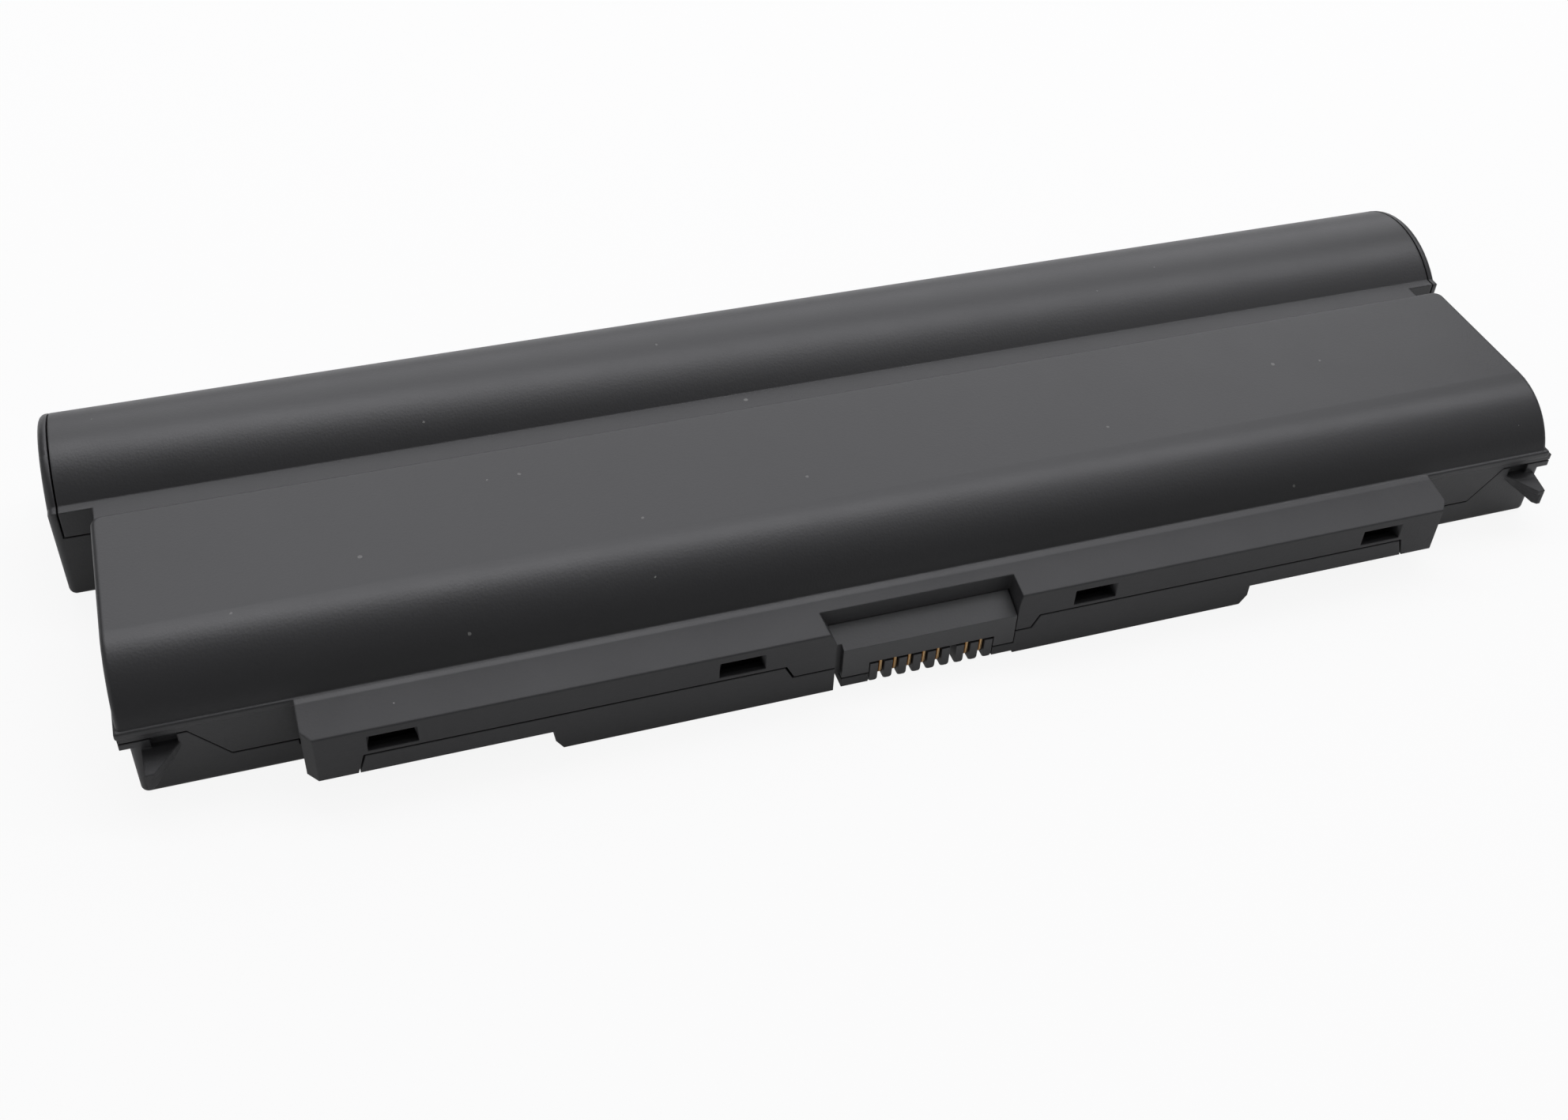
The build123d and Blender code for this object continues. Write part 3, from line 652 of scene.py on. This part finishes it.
@dataclass
class Housing:
    """The sloped connector housing, its comb parted from the face by a groove and its fins rounded below."""

    node: str = "connector_housing"
    weld: float = 0.002 * MM
    groove_ends: tuple[float, float] = (-9.67 * MM, 13.87 * MM)
    groove_top: float = 5.12 * MM
    groove_height: float = 0.5 * MM
    groove_depth: float = 1.1 * MM
    fin_foot: float = 0.6 * MM
    fin_round: float = 0.42 * MM
    round_steps: int = 4
    flat_angle: float = 0.5
    sharp_angle: float = 28.0

    def build(self) -> None:
        """Shapes a copy of the housing and lets it stand for the node."""
        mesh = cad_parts[self.node].data.copy()
        self.round_fins(mesh)
        piece = link_piece("housing_with_comb", mesh)
        self.cut_groove(piece)
        smooth_by_angle(piece.data, self.sharp_angle)
        stand_for(piece, self.node, Slot.HOUSING)

    def round_fins(self, mesh: bpy.types.Mesh) -> None:
        """Joins the copy's flat faces and rounds the lower corners of the fins.

        Args:
            mesh: The housing's mesh.
        """
        shape = bmesh.new()
        shape.from_mesh(mesh)
        bmesh.ops.remove_doubles(shape, verts=shape.verts, dist=self.weld)
        flat = radians(self.flat_angle)
        bmesh.ops.dissolve_limit(shape, angle_limit=flat, verts=shape.verts, edges=shape.edges)
        feet = [edge for edge in shape.edges if self.is_foot(edge)]
        bmesh.ops.bevel(
            shape, geom=feet, offset=self.fin_round, segments=self.round_steps, profile=0.5,
            affect="EDGES", clamp_overlap=True,
        )
        shape.to_mesh(mesh)
        shape.free()

    def is_foot(self, edge: bmesh.types.BMEdge) -> bool:
        """Tells whether an edge runs along the lower side of a fin."""
        first, last = (end.co for end in edge.verts)
        return max(first.z, last.z) < self.fin_foot and abs(first.x - last.x) < self.weld

    def cut_groove(self, piece: bpy.types.Object) -> None:
        """Cuts the groove over the fins.

        Args:
            piece: The housing.
        """
        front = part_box(self.node)[0][1]
        low = Vector((self.groove_ends[0], front - self.groove_depth, self.groove_top - self.groove_height))
        high = Vector((self.groove_ends[1], front + self.groove_depth, self.groove_top))
        shape = bmesh.new()
        place = Matrix.Translation((low + high) / 2) @ Matrix.Diagonal((*(high - low), 1.0))
        bmesh.ops.create_cube(shape, size=1.0, matrix=place)
        mesh = bpy.data.meshes.new("groove")
        shape.to_mesh(mesh)
        shape.free()
        tool = link_piece("groove", mesh)
        cut = piece.modifiers.new("groove", "BOOLEAN")
        cut.operation, cut.solver, cut.object = "DIFFERENCE", "EXACT", tool
        shaped = bpy.data.meshes.new_from_object(piece.evaluated_get(bpy.context.evaluated_depsgraph_get()))
        piece.modifiers.clear()
        piece.data = shaped
        bpy.data.objects.remove(tool)
        bpy.data.meshes.remove(mesh)


@dataclass
class ForkContact:
    """A contact with two rounded prongs that pinch the bay's blade, on a flat tail to the board."""

    number: int
    half_width: float = 0.52 * MM
    half_slit: float = 0.04 * MM
    slit_depth: float = 2.6 * MM
    advance: float = 0.45 * MM
    nose: float = 0.55 * MM
    shoulder: float = 3.2 * MM
    toe_heights: tuple[float, ...] = (0.0, 0.2 * MM, 0.7 * MM)
    toe_setbacks: tuple[float, ...] = (0.55 * MM, 0.22 * MM, 0.0)
    steps: int = 5
    sharp_angle: float = 32.0

    def build(self) -> None:
        """Makes the fork where the CAD contact is and lets it stand for it."""
        node = f"contact_{self.number}"
        corners = [corner.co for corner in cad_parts[node].data.vertices]
        middle = (max(c.x for c in corners) + min(c.x for c in corners)) / 2
        stock = max(c.x for c in corners) - middle
        lines = sorted({round(c.y, 6) for c in corners})
        levels = sorted({round(c.z, 6) for c in corners})
        mesh = bpy.data.meshes.new(f"fork_contact_{self.number}")
        shape = bmesh.new()
        front = lines[0] - self.advance
        plan = self.plan(stock, lines[1] - front)
        heights = [levels[0] + rise for rise in self.toe_heights] + levels[1:]
        setbacks = [*self.toe_setbacks, *[0.0] * len(levels[1:])]
        rings = [
            [shape.verts.new((middle + x, front + max(y, setback), height)) for x, y in plan]
            for height, setback in zip(heights, setbacks)
        ]
        self.skin(shape, rings)
        self.draw_tail(shape, levels, lines)
        bmesh.ops.recalc_face_normals(shape, faces=shape.faces)
        shape.to_mesh(mesh)
        shape.free()
        piece = link_piece(mesh.name, mesh)
        smooth_by_angle(mesh, self.sharp_angle)
        stand_for(piece, node, Slot.CONTACT)

    def plan(self, stock: float, length: float) -> list[tuple[float, float]]:
        """Outline of the fork from above.

        Args:
            stock: Half the thickness of the metal behind the prongs.
            length: Length from the nose to the back.

        Returns:
            Points as side and depth, from the nose of the right prong round the back to the slit.
        """
        turns = [radians(90.0 * step / self.steps) for step in range(self.steps + 1)]
        reach = self.half_width - self.half_slit
        side = [(self.half_slit + reach * sin(turn), self.nose * (1.0 - cos(turn))) for turn in turns]
        slope_from = self.shoulder - (self.half_width - stock)
        side += [(self.half_width, slope_from), (stock, self.shoulder), (stock, length)]
        left = [(-x, y) for x, y in reversed(side)]
        return side + left + [(-self.half_slit, self.slit_depth), (self.half_slit, self.slit_depth)]

    def skin(self, shape: bmesh.types.BMesh, rings: list[list[bmesh.types.BMVert]]) -> None:
        """Covers the rings with faces and closes both ends.

        Args:
            shape: The mesh to add to.
            rings: Rings of points from the bottom up.
        """
        for lower, upper in zip(rings, rings[1:]):
            for here in range(len(lower)):
                there = (here + 1) % len(lower)
                shape.faces.new((lower[here], lower[there], upper[there], upper[here]))
        shape.faces.new(list(reversed(rings[0])))
        shape.faces.new(rings[-1])

    def draw_tail(self, shape: bmesh.types.BMesh, levels: list[float], lines: list[float]) -> None:
        """Draws the tail out of the fork's back.

        Args:
            shape: The mesh to add to.
            levels: Heights of the blade's foot, the tail's underside and top, and the blade's top.
            lines: Depths of the nose, the blade's back and the tail's end.
        """
        root = Vector((0.0, lines[1], (levels[1] + levels[2]) / 2))
        back = min(shape.faces, key=lambda face: (face.calc_center_median() - root).yz.length)
        drawn = bmesh.ops.extrude_discrete_faces(shape, faces=[back])["faces"]
        bmesh.ops.translate(shape, verts=drawn[0].verts, vec=(0.0, lines[2] - lines[1], 0.0))


@dataclass
class Connector:
    """The sloped housing with its comb, and the contacts in the comb's gaps."""

    contact_count: int = 7

    def build(self) -> None:
        """Makes the housing and the contacts."""
        Housing().build()
        for number in range(1, self.contact_count + 1):
            ForkContact(number).build()


@dataclass
class Inside:
    """Everything the closed case hides: cells, strips, leads, board and foam."""

    rows: tuple[str, ...] = ("front", "middle", "rear")
    columns: tuple[str, ...] = ("left", "centre", "right")
    small: dict[str, Slot] = field(
        default_factory=lambda: {
            "strip_negative": Slot.NICKEL,
            "strip_lower_tap": Slot.NICKEL,
            "strip_upper_tap": Slot.NICKEL,
            "strip_positive": Slot.NICKEL,
            "lead_negative": Slot.NICKEL,
            "lead_positive": Slot.NICKEL,
            "circuit_board": Slot.BOARD,
            "gauge_chip": Slot.CHIP,
            "switch_charge": Slot.CHIP,
            "switch_discharge": Slot.CHIP,
            "fuse": Slot.FUSE,
            "shunt": Slot.SHUNT,
            "thermistor": Slot.BEAD,
        }
    )

    def dress(self) -> None:
        """Gives every hidden piece its finish."""
        for row in self.rows:
            for column in self.columns:
                dress_node(f"cell_{row}_{column}", Slot.SLEEVE)
            dress_node(f"foam_{row}", Slot.FOAM)
        for name, slot in self.small.items():
            dress_node(name, slot)


@dataclass(frozen=True)
class SoftLight:
    """A soft rectangular light, in metres, watts and degrees of turn about the line it points along."""

    name: str
    place: Triple
    target: Triple
    size: tuple[float, float]
    power: float
    roll: float = 0.0


LIGHTS: tuple[SoftLight, ...] = (
    SoftLight("back_panel", (0.32, 0.98, 0.6), (0.1, 0.0, 0.0), (1.45, 0.8), 5.4),
    SoftLight("strip_softbox", (0.25, 0.41, 0.97), (0.1, 0.0, 0.0), (2.0, 0.16), 5.6),
    SoftLight("slanted_softbox", (0.37, 0.18, 1.0), (0.37, 0.18, 0.0), (1.5, 0.2), 2.2, -15.0),
    SoftLight("overhead_softbox", (0.2, 0.09, 1.05), (0.1, 0.0, 0.0), (1.8, 0.35), 1.9),
    SoftLight("left_card", (-1.3, -0.1, 0.5), (0.0, 0.0, 0.0), (1.2, 1.0), 1.8),
    SoftLight("right_fill", (0.9, -0.55, 0.75), (0.0, 0.0, 0.0), (0.8, 0.8), 0.6),
)


@dataclass
class Studio:
    """Pale floor, soft lights and the camera at the photograph's angle."""

    place: Triple = (-0.102748, -0.24776, 0.23184)
    right: Triple = (0.94856, -0.31359, 0.04362)
    down: Triple = (-0.18172, -0.65205, -0.73607)
    ahead: Triple = (0.25927, 0.69028, -0.67549)
    focal_pixels: float = 2316.24
    image_width: float = 1984.0
    sensor: float = 36.0
    near: float = 0.01
    floor_size: float = 6.0
    floor_drop: float = 0.0002
    floor_grey: float = 0.8
    floor_seen: float = 0.9
    floor_mirrored: float = 0.28
    world_light: float = 0.2
    lamp_tint: Triple = (0.965, 0.965, 1.0)

    def build(self) -> None:
        """Makes the floor, the world, the lights and the camera."""
        self.build_floor()
        self.build_world()
        for light in LIGHTS:
            self.hang(light)
        self.build_camera()
        bpy.context.scene.view_settings.view_transform = "Standard"

    def white_share(self, pad: Pad, seen: float, mirrored: float) -> bpy.types.NodeSocket:
        """How far the background turns white for the rays that look at it.

        Args:
            pad: The material or world to put it in.
            seen: Share for camera and transmission rays.
            mirrored: Share for reflections.

        Returns:
            A socket with the share, 0 for all other rays.
        """
        path = pad.add("ShaderNodeLightPath").outputs
        direct = pad.math("MAXIMUM", path["Is Camera Ray"], path["Is Transmission Ray"])
        straight = pad.math("MULTIPLY", direct, seen)
        return pad.math("MAXIMUM", straight, pad.math("MULTIPLY", path["Is Glossy Ray"], mirrored))

    def build_floor(self) -> None:
        """Lays the floor, nearly white to the camera with the object's shadow kept on it."""
        half = self.floor_size / 2
        mesh = bpy.data.meshes.new("floor")
        corners = [(-half, -half, 0.0), (half, -half, 0.0), (half, half, 0.0), (-half, half, 0.0)]
        mesh.from_pydata(corners, [], [(0, 1, 2, 3)])
        floor = link_piece("floor", mesh)
        floor.location.z = -self.floor_drop
        material = bpy.data.materials.new("pale_floor")
        material.use_nodes = True
        pad = Pad(material.node_tree)
        pad.tree.nodes.clear()
        matte = pad.add("ShaderNodeBsdfDiffuse", {"Color": (*[self.floor_grey] * 3, 1.0)})
        glow = pad.add("ShaderNodeEmission", {"Color": (1.0, 1.0, 1.0, 1.0), "Strength": 1.0})
        share = self.white_share(pad, self.floor_seen, self.floor_mirrored)
        both = pad.add("ShaderNodeMixShader", {0: share, 1: matte.outputs[0], 2: glow.outputs[0]})
        pad.add("ShaderNodeOutputMaterial", {"Surface": both.outputs[0]})
        mesh.materials.append(material)

    def build_world(self) -> None:
        """Makes the world white to the eye and a soft grey as light."""
        world = bpy.data.worlds.new("studio")
        bpy.context.scene.world = world
        world.use_nodes = True
        pad = Pad(world.node_tree)
        pad.tree.nodes.clear()
        grey = pad.add("ShaderNodeBackground", {"Color": (1.0, 1.0, 1.0, 1.0), "Strength": self.world_light})
        white = pad.add("ShaderNodeBackground", {"Color": (1.0, 1.0, 1.0, 1.0), "Strength": 1.0})
        share = self.white_share(pad, 1.0, 0.0)
        both = pad.add("ShaderNodeMixShader", {0: share, 1: grey.outputs[0], 2: white.outputs[0]})
        pad.add("ShaderNodeOutputWorld", {"Surface": both.outputs[0]})

    def hang(self, light: SoftLight) -> None:
        """Hangs a light.

        Args:
            light: Where it hangs and how strong it is.
        """
        lamp = bpy.data.lights.new(light.name, "AREA")
        lamp.shape = "RECTANGLE"
        lamp.size, lamp.size_y = light.size
        lamp.energy = light.power
        lamp.color = self.lamp_tint
        hung = link_piece(light.name, lamp)
        hung.location = light.place
        aim = (Vector(light.target) - Vector(light.place)).to_track_quat("-Z", "Y")
        hung.rotation_euler = (aim @ Quaternion((0.0, 0.0, 1.0), radians(light.roll))).to_euler()

    def build_camera(self) -> None:
        """Sets the camera where the photograph was taken from."""
        lens = bpy.data.cameras.new("camera")
        lens.sensor_fit = "HORIZONTAL"
        lens.sensor_width = self.sensor
        lens.lens = self.focal_pixels * self.sensor / self.image_width
        lens.clip_start = self.near
        camera = link_piece("camera", lens)
        columns = (Vector(self.right), -Vector(self.down), -Vector(self.ahead))
        turn = Matrix(columns).transposed().to_4x4()
        camera.matrix_world = Matrix.Translation(self.place) @ turn
        bpy.context.scene.camera = camera


def main() -> None:
    """Dresses the pack piece by piece and sets up the studio."""
    logging.basicConfig(level=logging.INFO, format="%(message)s")
    Case().dress()
    Connector().build()
    Inside().dress()
    Studio().build()


if __name__ == "__main__":
    main()
